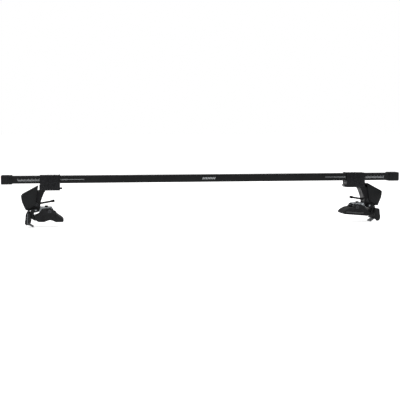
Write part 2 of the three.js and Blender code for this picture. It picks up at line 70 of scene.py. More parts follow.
@dataclass
class Shell:
    """A closed surface in a stand's own millimetres."""

    points: np.ndarray
    faces: list[tuple[int, ...]]

    def joined(self, *others: "Shell") -> "Shell":
        """This shell and others as one.

        Args:
            others: The shells to add.

        Returns:
            The joined shell.
        """
        points, faces = [self.points], list(self.faces)
        count = len(self.points)
        for other in others:
            faces += [tuple(i + count for i in face) for face in other.faces]
            points.append(other.points)
            count += len(other.points)
        return Shell(np.concatenate(points), faces)

    def facing_out(self) -> "Shell":
        """The same surface with its faces turned outwards, by the sign of its volume.

        Returns:
            The shell itself.
        """
        fans = [(f[0], a, b) for f in self.faces for a, b in zip(f[1:], f[2:])]
        corner = self.points[np.array(fans)]
        volume = np.einsum("ij,ij->i", corner[:, 0], np.cross(corner[:, 1], corner[:, 2])).sum()
        if volume < 0:
            self.faces = [face[::-1] for face in self.faces]
        return self

    def mirrored(self) -> "Shell":
        """The shell on the other side of the tower, with v turned to minus v."""
        flipped = self.points * np.array([1.0, -1.0, 1.0])
        return Shell(flipped, [face[::-1] for face in self.faces])

    def turned(self, about: tuple[float, float], degrees: float) -> "Shell":
        """The shell turned about a cross axis so that its inner end rises.

        Args:
            about: The axis's place in u and w.
            degrees: How far it turns.

        Returns:
            The turned shell.
        """
        angle = math.radians(degrees)
        u = self.points[:, 0] - about[0]
        w = self.points[:, 2] - about[1]
        moved = self.points.copy()
        moved[:, 0] = about[0] + u * math.cos(angle) - w * math.sin(angle)
        moved[:, 2] = about[1] + u * math.sin(angle) + w * math.cos(angle)
        return Shell(moved, self.faces)


def softened(corners: list[tuple[float, ...]], steps: int = 6) -> np.ndarray:
    """An outline with some corners rounded.

    A corner (x, y, r) becomes a quadratic curve that starts and ends r along its two
    sides, or 45 hundredths of a side where that is shorter.

    Args:
        corners: The outline's corners, in order.
        steps: Segments in each rounded corner.

    Returns:
        The outline's points, one row each.
    """
    at = np.array([c[:2] for c in corners], float)
    radii = np.array([c[2] if len(c) > 2 else 0.0 for c in corners])
    back = np.roll(at, 1, axis=0) - at
    ahead = np.roll(at, -1, axis=0) - at
    lengths = np.linalg.norm([back, ahead], axis=2)
    reach = np.minimum(radii, SIDE_SHARE * lengths.min(axis=0))
    start = at + back * (reach / lengths[0])[:, None]
    end = at + ahead * (reach / lengths[1])[:, None]
    t = np.linspace(0.0, 1.0, steps + 1)[None, :, None]
    bends = (1 - t) ** 2 * start[:, None] + 2 * t * (1 - t) * at[:, None] + t**2 * end[:, None]
    rows = [bend if r > 0 else point[None] for bend, point, r in zip(bends, at, reach)]
    return np.concatenate(rows)


def oblong(half_a: float, half_b: float, corner: float, steps: int = 8) -> np.ndarray:
    """A rectangle about the origin with round corners."""
    corners = [(half_a, -half_b), (half_a, half_b), (-half_a, half_b), (-half_a, -half_b)]
    return softened([(a, b, corner) for a, b in corners], steps)


def strip(line: list[tuple[float, float]], thickness: float) -> np.ndarray:
    """The outline of a bent strip of even thickness, mitred at its bends.

    Args:
        line: The strip's centre line.
        thickness: Its thickness.

    Returns:
        The outline's points: one side of the strip, then the other, back to the start.
    """
    at = np.array(line, float)
    step = np.diff(at, axis=0)
    step /= np.linalg.norm(step, axis=1)[:, None]
    before = np.vstack([step[:1], step])
    after = np.vstack([step, step[-1:]])
    along = before + after
    along /= np.linalg.norm(along, axis=1)[:, None]
    lean = np.einsum("ij,ij->i", along, before)[:, None]
    side = np.stack([-along[:, 1], along[:, 0]], axis=1) * thickness / 2 / lean
    return np.concatenate([at + side, (at - side)[::-1]])


def inset(outline: np.ndarray, amount: float) -> np.ndarray:
    """An outline moved inwards: each point goes along the mitre of its two sides.

    Args:
        outline: The outline's points.
        amount: How far its sides move.

    Returns:
        The smaller outline.
    """
    before = outline - np.roll(outline, 1, axis=0)
    after = np.roll(outline, -1, axis=0) - outline
    a, b = outline.T
    area = np.sum(a * np.roll(b, -1) - b * np.roll(a, -1))
    first = np.stack([before[:, 1], -before[:, 0]], axis=1)
    second = np.stack([after[:, 1], -after[:, 0]], axis=1)
    first /= np.linalg.norm(first, axis=1)[:, None]
    second /= np.linalg.norm(second, axis=1)[:, None]
    mitre = (first + second) / (1 + np.einsum("ij,ij->i", first, second))[:, None]
    return outline - mitre * amount * np.sign(area)


def loft(rings: np.ndarray, endless: bool = False) -> Shell:
    """A surface through rings of points.

    Ring i's point j is joined to its neighbours j + 1 and i + 1, each ring closing on
    itself. The first and last ring are closed by a flat face, or joined to each other.

    Args:
        rings: An array of rings, points and three coordinates.
        endless: True where the last ring goes on to the first.

    Returns:
        The closed shell, facing outwards.
    """
    count, around = rings.shape[:2]
    i, j = np.meshgrid(np.arange(count if endless else count - 1), np.arange(around), indexing="ij")
    ahead, beside = (i + 1) % count, (j + 1) % around
    corners = [i * around + j, i * around + beside, ahead * around + beside, ahead * around + j]
    faces = [tuple(face) for face in np.stack(corners, axis=-1).reshape(-1, 4).tolist()]
    if not endless:
        faces.append(tuple(range(around))[::-1])
        faces.append(tuple(range((count - 1) * around, count * around)))
    return Shell(rings.reshape(-1, 3), faces).facing_out()


def stations(outline: np.ndarray, places: np.ndarray, shrink: np.ndarray, carry: Carry) -> np.ndarray:
    """Rings of one outline at several places, each drawn in by an amount of its own.

    Args:
        outline: The outline's points.
        places: Where each ring stands along the way that the outline is carried.
        shrink: How far each ring is drawn in.
        carry: That way.

    Returns:
        An array of rings, points and three coordinates.
    """
    rings = []
    for place, amount in zip(places, shrink):
        flat = inset(outline, amount) if amount else outline
        held = np.full(len(flat), place)
        columns = [flat[:, 0], held] if carry is Carry.ACROSS else [held, flat[:, 0]]
        rings.append(np.stack([*columns, flat[:, 1]], axis=1))
    return np.array(rings)


def slab(
    outline: np.ndarray,
    start: float,
    end: float,
    edge: float = 0.4,
    carry: Carry = Carry.ACROSS,
    steps: int = 3,
) -> Shell:
    """An outline carried straight, with its two rims rounded to a quarter circle.

    At an angle t up the rim the outline is edge * (1 - cos t) smaller and stands
    edge * (1 - sin t) short of the end.

    Args:
        outline: The outline's points.
        start: Where it starts.
        end: Where it ends, past start.
        edge: Radius of the rims.
        carry: The way it is carried.
        steps: Segments in each rim.

    Returns:
        The closed shell.
    """
    rise = np.linspace(0.0, math.pi / 2, steps + 1) if edge else np.zeros(1)
    short = edge * (1 - np.sin(rise)) if edge else np.zeros(1)
    small = edge * (1 - np.cos(rise))
    places = np.concatenate([(start + short)[::-1], end - short])
    return loft(stations(outline, places, np.concatenate([small[::-1], small]), carry))


def box(u: tuple[float, float], v: tuple[float, float], w: tuple[float, float], edge: float = 0.0) -> Shell:
    """A block between two limits on each axis, with rounded rims where edge is given.

    Args:
        u: Its limits along the bar.
        v: Its limits across the bar.
        w: Its limits upwards.
        edge: Radius of its rims.

    Returns:
        The closed shell.
    """
    outline = np.array([(u[0], w[0]), (u[1], w[0]), (u[1], w[1]), (u[0], w[1])], float)
    if edge:
        outline = softened([(*point, edge) for point in outline], 3)
    return slab(outline, v[0], v[1], edge)


def lathe(
    profile: list[tuple[float, float]],
    start: tuple[float, float, float],
    axis: tuple[float, float, float],
    sides: int = 36,
    shape: np.ndarray | None = None,
    endless: bool = False,
) -> Shell:
    """A profile of (radius, height) turned about an axis.

    A point at angle a is start + height * axis + radius * (cos a, sin a) square to it.

    Args:
        profile: Radius and height of each ring, in order along the surface.
        start: Where height is nought.
        axis: The axis, of any length.
        sides: Points in each ring.
        shape: What each radius is multiplied by, per ring and side.
        endless: True for a profile that closes on itself, as a washer's does.

    Returns:
        The closed shell.
    """
    along = np.array(axis, float) / np.linalg.norm(axis)
    guide = np.array([0.0, 0.0, 1.0]) if abs(along[2]) < 0.9 else np.array([1.0, 0.0, 0.0])
    first = np.cross(guide, along)
    first /= np.linalg.norm(first)
    second = np.cross(along, first)
    angle = np.arange(sides) * 2 * math.pi / sides
    radius = np.array([r for r, _ in profile])[:, None] * (1.0 if shape is None else shape)
    radius = np.broadcast_to(radius, (len(profile), sides))
    around = np.cos(angle)[:, None] * first + np.sin(angle)[:, None] * second
    height = np.array([h for _, h in profile])[:, None, None] * along
    return loft(np.array(start) + height + radius[:, :, None] * around, endless)


def rod(start: tuple[float, ...], end: tuple[float, ...], radius: float, edge: float = 0.3) -> Shell:
    """A round bar between two points, with chamfered ends.

    Args:
        start: The middle of one end.
        end: The middle of the other.
        radius: The bar's radius.
        edge: Width of the chamfers.

    Returns:
        The closed shell.
    """
    reach = np.array(end, float) - np.array(start, float)
    length = float(np.linalg.norm(reach))
    profile = [(radius - edge, 0.0), (radius, edge), (radius, length - edge), (radius - edge, length)]
    return lathe(profile, tuple(start), tuple(reach))


def hexed(rows: int, which: list[int], sides: int = 36) -> np.ndarray:
    """Ring factors that make some rings hexagons whose corners lie on their radius.

    Args:
        rows: How many rings there are.
        which: The rings that become hexagons.
        sides: Points in each ring.

    Returns:
        What each radius is multiplied by, per ring and side.
    """
    turn = np.mod(np.arange(sides) * 360 / sides, 60) - 30
    six = math.cos(math.radians(30)) / np.cos(np.radians(turn))
    factors = np.ones((rows, sides))
    factors[which] = six
    return factors


def socketed(
    profile: list[tuple[float, float]], key: float, depth: float
) -> tuple[list[tuple[float, float]], np.ndarray]:
    """A head's profile with a hexagon socket sunk in its end.

    Args:
        profile: The profile, which ends at the head's face.
        key: The socket's radius to its corners.
        depth: How deep it is.

    Returns:
        The longer profile and its ring factors.
    """
    top = profile[-1][1]
    rows = profile + [(key + 0.25, top), (key, top - 0.2), (key, top - depth), (key * 0.3, top - depth - 0.4)]
    return rows, hexed(len(rows), [len(rows) - 3, len(rows) - 2])


def threaded(
    start: tuple[float, float, float],
    axis: tuple[float, float, float],
    length: float,
    radius: float,
    lead: float,
    depth: float,
) -> Shell:
    """A screw thread as one surface of height h and angle a.

    Its radius is the outer radius, less depth times how far h / lead - a / (2 pi) stands
    from the nearest crest, so the crest climbs one lead for each turn.

    Args:
        start: Where the thread starts.
        axis: The way that it runs.
        length: Its length.
        radius: Its outer radius.
        lead: The climb of one turn.
        depth: Depth of the groove.

    Returns:
        The closed shell.
    """
    sides, rows = 20, int(length / lead * 5)
    height = np.linspace(0.0, length, rows)
    phase = height[:, None] / lead - np.arange(sides)[None] / sides
    groove = 1 - np.abs(2 * (phase - np.floor(phase)) - 1)
    fade = np.clip(np.minimum(height, length - height) / lead, 0.0, 1.0)[:, None]
    shape = 1 - depth * (groove * fade + (1 - fade)) / radius
    return lathe([(radius, h) for h in height], start, axis, sides, shape)


def carved(shell: Shell, *cutters: Shell) -> Shell:
    """A shell with others taken out of it.

    Args:
        shell: The shell.
        cutters: What is taken out.

    Returns:
        What is left of it.

    Raises:
        ValueError: Where the cut lost the shell, or left it bigger than it was.
    """
    objects = []
    for number, each in enumerate((shell, *cutters)):
        mesh = bpy.data.meshes.new(f"carving_{number}")
        mesh.from_pydata(each.points.tolist(), [], each.faces)
        made = bpy.data.objects.new(mesh.name, mesh)
        bpy.context.scene.collection.objects.link(made)
        objects.append(made)
    for cutter in objects[1:]:
        cut = objects[0].modifiers.new("cut", "BOOLEAN")
        cut.operation = "DIFFERENCE"
        cut.solver = "EXACT"
        cut.object = cutter
    result = objects[0].evaluated_get(bpy.context.evaluated_depsgraph_get()).to_mesh()
    flat = np.empty(len(result.vertices) * 3, np.float32)
    result.vertices.foreach_get("co", flat)
    faces = [tuple(polygon.vertices) for polygon in result.polygons]
    for made in objects:
        mesh = made.data
        bpy.data.objects.remove(made)
        bpy.data.meshes.remove(mesh)
    left = flat.astype(float).reshape(-1, 3)
    if len(left) == 0 or np.any(left.min(0) < shell.points.min(0) - 0.01):
        raise ValueError("a carving went wrong: the shell or a cutter crosses itself")
    return Shell(left, faces)


# ---------------------------------------------------------------- finishes


def linear(hex_code: str) -> tuple[float, float, float, float]:
    """An sRGB hex value as linear light with full alpha.

    Args:
        hex_code: The value, with its # sign.

    Returns:
        Red, green, blue and alpha.
    """
    values = [int(hex_code[i : i + 2], 16) / 255 for i in (1, 3, 5)]
    lit = [v / 12.92 if v <= 0.04045 else ((v + 0.055) / 1.055) ** 2.4 for v in values]
    return (*lit, 1.0)


def add(
    tree: bpy.types.NodeTree, kind: str, settings: dict[str, object] | None = None, **links: object
) -> bpy.types.Node:
    """Adds a node with its settings and inputs.

    Args:
        tree: The node tree.
        kind: The node's type name.
        settings: Attributes to set on the node.
        links: Inputs by name, with _ for a space, each an output socket or a value.

    Returns:
        The node.
    """
    node = tree.nodes.new(kind)
    for name, value in (settings or {}).items():
        setattr(node, name, value)
    for name, value in links.items():
        socket = node.inputs[name.replace("_", " ")]
        if isinstance(value, bpy.types.NodeSocket):
            tree.links.new(value, socket)
        else:
            socket.default_value = value
    return node


class Grain(Enum):
    """How a surface was made, which gives its small relief."""

    PEBBLED = "spark-eroded mould: rounded pebbles side by side"
    PEELED = "baked powder: soft swells, like orange peel"
    DRAWN = "drawn or extruded: fine lines along one axis"
    PITTED = "cured rubber: dull, with scattered pits"


@dataclass(frozen=True)
class Finish:
    """One real material with the way its surface was made."""

    name: str
    base: str
    cloud: str  # the second tone, in broad soft patches
    edge: str  # tone of rubbed edges
    roughness: float
    spread: float  # how far the roughness wanders
    grain: Grain
    grain_mm: float
    depth_mm: float
    cloud_mm: float = 18.0
    edge_share: float = 0.35
    metallic: float = 0.0
    ior: float = 1.5
    sheen: float = 0.5  # level of the mirror part; a half is the full one
    stretch: tuple[float, float, float] = (1.0, 1.0, 1.0)

    def relief(self, tree: bpy.types.NodeTree, place: bpy.types.NodeSocket) -> bpy.types.NodeSocket:
        """Height of the small relief.

        Args:
            tree: The material's nodes.
            place: Where on the piece, in metres.

        Returns:
            The height, from nought to one.
        """
        size = 1 / (self.grain_mm * MM)
        if self.grain is Grain.PEBBLED:
            cells = add(tree, "ShaderNodeTexVoronoi", {"feature": "SMOOTH_F1"}, Vector=place, Scale=size)
            return cells.outputs["Distance"]
        detail = {Grain.PEELED: 1.0, Grain.DRAWN: 3.0, Grain.PITTED: 6.0}[self.grain]
        if self.grain is Grain.DRAWN:
            place = add(tree, "ShaderNodeMapping", Vector=place, Scale=self.stretch).outputs[0]
        return add(tree, "ShaderNodeTexNoise", Vector=place, Scale=size, Detail=detail).outputs[0]

    def material(self) -> bpy.types.Material:
        """The finish as a material, made once and shared.

        Returns:
            The material.
        """
        if self.name in bpy.data.materials:
            return bpy.data.materials[self.name]
        made = bpy.data.materials.new(self.name)
        made.use_nodes = True
        tree = made.node_tree
        tree.nodes.clear()
        place = add(tree, "ShaderNodeTexCoord").outputs["Object"]
        height = self.relief(tree, place)
        broad = add(tree, "ShaderNodeTexNoise", Vector=place, Scale=1 / (self.cloud_mm * MM), Detail=4.0)
        patch = add(
            tree, "ShaderNodeMapRange", {"clamp": True}, Value=broad.outputs[0], From_Min=0.35, From_Max=0.7
        )
        tones = {"data_type": "RGBA"}
        body = add(tree, "ShaderNodeMix", tones)
        body.inputs[6].default_value = linear(self.base)
        body.inputs[7].default_value = linear(self.cloud)
        tree.links.new(patch.outputs[0], body.inputs[0])
        convex = add(tree, "ShaderNodeNewGeometry").outputs["Pointiness"]
        rim = add(
            tree, "ShaderNodeMapRange", {"clamp": True}, Value=convex, From_Min=0.52, From_Max=0.62
        )
        scuffs = add(tree, "ShaderNodeTexNoise", Vector=place, Scale=SCUFF_SCALE, Detail=5.0)
        broken = add(
            tree,
            "ShaderNodeMapRange",
            {"clamp": True},
            Value=scuffs.outputs[0],
            From_Min=0.4,
            From_Max=0.65,
            To_Max=self.edge_share,
        )
        rubbed = add(tree, "ShaderNodeMath", {"operation": "MULTIPLY"})
        tree.links.new(rim.outputs[0], rubbed.inputs[0])
        tree.links.new(broken.outputs[0], rubbed.inputs[1])
        worn = add(tree, "ShaderNodeMix", tones)
        tree.links.new(rubbed.outputs[0], worn.inputs[0])
        tree.links.new(body.outputs[2], worn.inputs[6])
        worn.inputs[7].default_value = linear(self.edge)
        dull = add(
            tree,
            "ShaderNodeMapRange",
            {"clamp": True},
            Value=broad.outputs[0],
            From_Min=0.3,
            From_Max=0.7,
            To_Min=self.roughness - self.spread,
            To_Max=self.roughness + self.spread,
        )
        bump = add(
            tree, "ShaderNodeBump", Strength=0.6, Distance=self.depth_mm * MM, Height=height
        )
        shader = add(
            tree,
            "ShaderNodeBsdfPrincipled",
            Base_Color=worn.outputs[2],
            Roughness=dull.outputs[0],
            Normal=bump.outputs[0],
            Metallic=self.metallic,
            IOR=self.ior,
            Specular_IOR_Level=self.sheen,
        )
        add(tree, "ShaderNodeOutputMaterial", Surface=shader.outputs[0])
        return made


# Extruded black PVC: a satin skin with faint lines along the bar from the die.
JACKET = Finish(
    "extruded_black_pvc", "#0b0c0d", "#111213", "#2a2b2c", 0.42, 0.08, Grain.DRAWN, 0.7, 0.03,
    cloud_mm=40.0, sheen=0.15, stretch=(0.02, 1.0, 1.0),
)
# Glass-filled nylon from a spark-eroded mould: matt pebbles that turn grey where rubbed.
MOULDED = Finish(
    "moulded_black_nylon", "#0c0d0e", "#131516", "#3a3c3e", 0.46, 0.08, Grain.PEBBLED, 0.8, 0.05,
    sheen=0.16,
)
# Steel under baked black powder: soft orange peel with a low gloss.
POWDERED = Finish(
    "powder_coated_steel", "#09090a", "#0f0f11", "#45464a", 0.48, 0.1, Grain.PEELED, 1.6, 0.06,
    cloud_mm=25.0, sheen=0.12,
)
# Steel with bright blue-passivated zinc: pale, a little cloudy, duller in its patches.
ZINC = Finish(
    "blue_zinc_plated_steel", "#8f9396", "#74797d", "#c0c4c7", 0.34, 0.1, Grain.PEELED, 0.9, 0.02,
    cloud_mm=6.0, metallic=1.0,
)
# The same plating where road salt and rubbing have dulled it to grey.
DULL_ZINC = Finish(
    "weathered_zinc_plated_steel", "#5d6063", "#45484a", "#a2a5a8", 0.45, 0.1, Grain.PEELED, 1.1, 0.03,
    cloud_mm=7.0, metallic=1.0,
)
# Cold-drawn bright steel: lines along each pin, as the die left them.
DRAWN_STEEL = Finish(
    "cold_drawn_steel", "#9a9c9f", "#7d8084", "#c8cacc", 0.28, 0.08, Grain.DRAWN, 0.35, 0.015,
    cloud_mm=8.0, metallic=1.0, stretch=(1.0, 0.03, 1.0),
)
# Oxide-blacked bolt steel: dark and oily, with bare steel on its crests.
BLACKED = Finish(
    "oxide_blacked_steel", "#141516", "#1d1e20", "#6a6c6f", 0.36, 0.1, Grain.PEELED, 0.7, 0.02,
    cloud_mm=7.0, metallic=0.7, sheen=0.4,
)
# Manganese-phosphated steel: a dark grey, dry and finely crystalline skin.
PHOSPHATED = Finish(
    "phosphated_steel", "#3b3c3e", "#2b2c2e", "#77797c", 0.5, 0.08, Grain.PEELED, 0.5, 0.02,
    cloud_mm=5.0, metallic=0.8,
)
# Cured black rubber: dull, with a grey bloom in patches and small pits.
RUBBER = Finish(
    "cured_black_rubber", "#141415", "#232425", "#3a3b3c", 0.78, 0.1, Grain.PITTED, 0.9, 0.07,
    cloud_mm=14.0, sheen=0.15,
)
# The same rubber painted grey as a highlight on the pad's side band, with long drawn lines in its relief.
PAINTED_HIGHLIGHT_RUBBER = Finish(
    "black_rubber_painted_highlight", "#3c3d3e", "#2a2b2c", "#5a5b5c", 0.6, 0.1, Grain.DRAWN, 0.9, 0.05,
    cloud_mm=9.0, sheen=0.3, stretch=(0.1, 1.0, 1.0),
)
# Pad-printed pale grey ink: flat, and thin enough for the jacket to dull it in places.
INK = Finish(
    "pad_printed_grey_ink", "#a4a7a9", "#7e8183", "#a4a7a9", 0.6, 0.05, Grain.PEELED, 1.2, 0.01,
    cloud_mm=3.0, sheen=0.3,
)


# ---------------------------------------------------------------- pieces


@dataclass(frozen=True)
class Stand:
    """Where a group of pieces stands: its own millimetres to the scene's metres."""

    name: str
    outer: float  # metres along X to the group's u = 0
    inward: float  # 1 where u runs along +X, -1 where the group is turned half round
    rise: float  # metres up to the bar's centre line

    def node(self, part: str) -> str:
        """The frame's name of one of this group's parts."""
        return f"{self.name}_{part}" if self.name else part

    def to_scene(self, points: np.ndarray) -> np.ndarray:
        """Points in the scene's frame."""
        turn = np.array([self.inward, self.inward, 1.0])
        return points * MM * turn + np.array([self.outer, 0.0, self.rise])

    def shown(
        self, mesh: bpy.types.Mesh, node: str, finish: Finish, smooth: float = CREASE
    ) -> bpy.types.Object:
        """Shades a mesh, gives it its finish and puts it into the scene.

        Args:
            mesh: The piece's mesh.
            node: The piece's name, with the group's.
            finish: What it is made of.
            smooth: Faces that meet at less than this many degrees are shaded as one.

        Returns:
            The piece.
        """
        mesh.polygons.foreach_set("use_smooth", [True] * len(mesh.polygons))
        mesh.set_sharp_from_angle(angle=math.radians(smooth))
        mesh.materials.clear()
        mesh.materials.append(finish.material())
        made = bpy.data.objects.new(node + "_look", mesh)
        bpy.context.scene.collection.objects.link(made)
        return made

    def put(
        self,
        shell: Shell,
        part: str,
        finish: Finish,
        body: str,
        slot: str,
        replaced: bool = True,
        smooth: float = CREASE,
    ) -> bpy.types.Object:
        """Puts a shell into the scene as a piece.

        Args:
            shell: The surface, in the group's millimetres.
            part: The piece's name, without the group's.
            finish: What it is made of.
            body: The frame's body that it rides on, without the group's name.
            slot: The record's material slot; not used.
            replaced: True where it stands for the frame's node of the same name.
            smooth: Faces that meet at less than this many degrees are shaded as one.

        Returns:
            The piece.
        """
        node = self.node(part)
        mesh = bpy.data.meshes.new(node + "_shape")
        mesh.from_pydata(self.to_scene(shell.points).tolist(), [], shell.faces)
        mesh.validate()
        made = self.shown(mesh, node, finish, smooth)
        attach(made, self.node(body))
        if replaced:
            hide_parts(node)
        LOG.info("%s: %d faces, %s", made.name, len(mesh.polygons), finish.name)
        return made

    def eased(self, part: str, finish: Finish, body: str, slot: str, edge: float) -> bpy.types.Object:
        """Replaces a node by a merged copy whose edges are eased.

        Args:
            part: The node's name, without the group's.
            finish: What it is made of.
            body: The body that it rides on, without the group's name.
            slot: The record's material slot; not used.
            edge: Width of the eased edges, in millimetres.

        Returns:
            The piece.
        """
        node = self.node(part)
        build = bmesh.new()
        build.from_mesh(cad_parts[node].data)
        bmesh.ops.remove_doubles(build, verts=build.verts, dist=0.00001)
        bmesh.ops.dissolve_limit(
            build, angle_limit=math.radians(1.0), verts=build.verts, edges=build.edges
        )
        mesh = bpy.data.meshes.new(node + "_shape")
        build.to_mesh(mesh)
        build.free()
        made = self.shown(mesh, node, finish)
        bevel = made.modifiers.new("eased", "BEVEL")
        bevel.width = edge * MM
        bevel.segments = 2
        bevel.limit_method = "ANGLE"
        bevel.angle_limit = math.radians(CREASE)
        bevel.harden_normals = True
        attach(made, self.node(body))
        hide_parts(node)
        LOG.info("%s: eased copy, %s", made.name, finish.name)
        return made


@dataclass
class CrossBar:
    """The bar: its plastic jacket, two end caps and what is printed on it."""

    stand: Stand
    half: float = 600.0  # over the caps
    jacket_end: float = 595.4
    half_depth: float = 16.0
    half_height: float = 11.0
    corner: float = 3.2
    wall: float = 1.7
    cap_length: float = 31.0
    cap_end: float = 4.0
    cap_wall: float = 2.0
    cap_round: float = 2.6  # radius round the cap's outer end
    cap_grooves: tuple[float, ...] = (5.0, 8.0, 11.0)  # finger grooves, from the cap's lip
    clear: float = 0.35
    ink: float = 0.12  # thickness of the print
    tick_spacing: float = 2.5
    long_tick: float = 6.5
    short_tick: float = 4.2
    scales: tuple[tuple[float, float], ...] = ((-552.0, -489.0), (490.5, 552.0))
    pointers: tuple[tuple[float, float, float], ...] = (
        (-430.0, -408.0, -362.0), (430.0, 408.0, 364.0),
    )
    mark_place: float = 6.0  # the hatched mark stands a little off the middle
    mark_bars: int = 8
    mark_step: float = 5.0

    def jacket(self) -> None:
        """The jacket: an outline down the bar, and back inside it, as one closed tube."""
        skin = oblong(self.half_depth, self.half_height, self.corner, 10)
        bore = oblong(self.half_depth - self.wall, self.half_height - self.wall, 2.0, 10)
        ends = np.linspace(-self.jacket_end, self.jacket_end, 7)
        outside = stations(skin, ends, np.zeros(7), Carry.ALONG)
        inside = stations(bore, ends[::-1], np.zeros(7), Carry.ALONG)
        tube = loft(np.concatenate([outside, inside]), endless=True)
        self.stand.put(tube, "bar_jacket", JACKET, "bar", "bar_plastic")

    def cap(self, side: int) -> None:
        """A cap: rings go from the depth of its socket, round its lip and over its end.

        Args:
            side: 1 for the +X end, -1 for the other.
        """
        depth, height = self.half_depth + self.clear, self.half_height + self.clear
        bore = oblong(depth, height, 3.4, 10)
        skin = oblong(depth + self.cap_wall, height + self.cap_wall, 4.6, 10)
        lip = self.half - self.cap_length
        inner_places = np.array([self.half - self.cap_end, lip + 0.4])
        groove = [ring for place in self.cap_grooves for ring in self.groove(lip + place)]
        rim = np.linspace(0.0, math.pi / 2, 6)
        turn = self.cap_round
        round_end = [(self.half - turn * (1 - math.sin(t)), turn * (1 - math.cos(t))) for t in rim]
        outer = [(lip, 0.7), (lip + 0.2, 0.2), (lip + 0.7, 0.0), *groove, *round_end]
        places = np.array([at for at, _ in outer])
        shrink = np.array([sink for _, sink in outer])
        rings = np.concatenate(
            [
                stations(bore, inner_places, np.zeros(2), Carry.ALONG),
                stations(skin, places, shrink, Carry.ALONG),
            ]
        )
        shell = loft(rings)
        if side < 0:
            shell = Shell(shell.points * np.array([-1.0, -1.0, 1.0]), shell.faces)
        name = "end_cap_right" if side > 0 else "end_cap_left"
        self.stand.put(shell, name, MOULDED, "bar", "moulded_plastic")

    def groove(self, at: float) -> list[tuple[float, float]]:
        """Places and depths of one finger groove round a cap."""
        return [(at - 0.7, 0.0), (at - 0.35, 0.4), (at + 0.35, 0.4), (at + 0.7, 0.0)]

    def marks(self, blocks: np.ndarray, lean: float, face: int) -> Shell:
        """Printed bars as one shell of thin blocks.

        Block k spans u and w between its limits; its top is moved along by lean.

        Args:
            blocks: Rows of u, w and the two half sizes.
            lean: How far a bar's top leans along u.
            face: -1 for the bar's front face, 1 for its back one.

        Returns:
            The shell.
        """
        sign = np.array([(-1, -1), (1, -1), (1, 1), (-1, 1)], float)
        flat = blocks[:, None, :2] + sign[None] * blocks[:, None, 2:]
        flat[:, :, 0] += lean * sign[None, :, 1] * blocks[:, None, 3]
        skin = self.half_depth * face
        layers = [
            np.stack([flat[..., 0], np.full(flat.shape[:2], v), flat[..., 1]], axis=-1)
            for v in (skin - 0.02 * face, skin + self.ink * face)
        ]
        points = np.concatenate(layers, axis=1)
        faces = [(0, 1, 2, 3), (7, 6, 5, 4), (0, 4, 5, 1), (1, 5, 6, 2), (2, 6, 7, 3), (3, 7, 4, 0)]
        start = np.arange(len(blocks))[:, None, None] * 8
        index = (start + np.array(faces)[None]).reshape(-1, 4).tolist()
        return Shell(points.reshape(-1, 3), [tuple(f) for f in index]).facing_out()

    def scale(self, start: float, end: float) -> np.ndarray:
        """Upright ticks between two places, each fourth one long, over a thin base line.

        Args:
            start: Where the ticks start along the bar.
            end: Where they end.

        Returns:
            Rows of u, w and the two half sizes.
        """
        u = np.arange(start, end, self.tick_spacing)
        tall = np.where(np.arange(len(u)) % 4 == 0, self.long_tick, self.short_tick) / 2
        low = -self.long_tick / 2
        ticks = np.stack([u, low + tall, np.full(len(u), 0.45), tall], axis=1)
        base = np.array([[(start + end) / 2, low, (end - start) / 2 + 0.5, 0.35]])
        return np.concatenate([ticks, base])

    def pointer(self, start: float, end: float, tail: float) -> np.ndarray:
        """A short run of ticks, then a thin line that goes on to a tail.

        Args:
            start: Where the ticks start along the bar.
            end: Where they end and the line begins.
            tail: Where the line ends.

        Returns:
            Rows of u, w and the two half sizes.
        """
        u = np.arange(min(start, end), max(start, end), self.tick_spacing)
        ticks = np.stack([u, np.zeros(len(u)), np.full(len(u), 0.45), np.full(len(u), 1.8)], axis=1)
        line = np.array([[(end + tail) / 2, 0.2, abs(tail - end) / 2, 0.45]])
        return np.concatenate([ticks, line])

    def prints(self) -> None:
        """The scales at both ends and a plain hatched mark at the middle."""
        for face, name in ((-1, "front"), (1, "back")):
            rows = [self.scale(*ends) for ends in self.scales]
            rows += [self.pointer(*ends) for ends in self.pointers]
            shell = self.marks(np.concatenate(rows), 0.0, face)
            self.stand.put(shell, f"scale_print_{name}", INK, "bar", "bar_plastic", replaced=False)
            bars = self.mark_bars
            u = (np.arange(bars) - (bars - 1) / 2) * self.mark_step + self.mark_place
            hatch = np.stack([u, np.zeros(bars), np.full(bars, 1.55), np.full(bars, 2.9)], axis=1)
            middle = self.marks(hatch, 0.5 * -face, face)
            self.stand.put(middle, f"centre_print_{name}", INK, "bar", "bar_plastic", replaced=False)

    def build(self) -> None:
        """Builds and dresses the bar."""
        self.jacket()
        self.cap(1)
        self.cap(-1)
        self.prints()
        self.stand.eased("bar_tube", DRAWN_STEEL, "bar", "steel", 0.3)


@dataclass(frozen=True)
class Shoe:
    """One roof pad's own shape; each pad is moulded to its side of the roof."""

    tilt: float  # degrees that the toe is up
    heel_drop: float  # how far below its pin the round heel goes
    lowest: float
    sole: tuple[tuple[float, ...], ...]
    grooves: tuple[float, ...]
    ribs: tuple[tuple[tuple[float, float], ...], ...]
    bands: tuple[tuple[tuple[float, float], ...], ...] = ()  # broad rims whose grey is a painted highlight
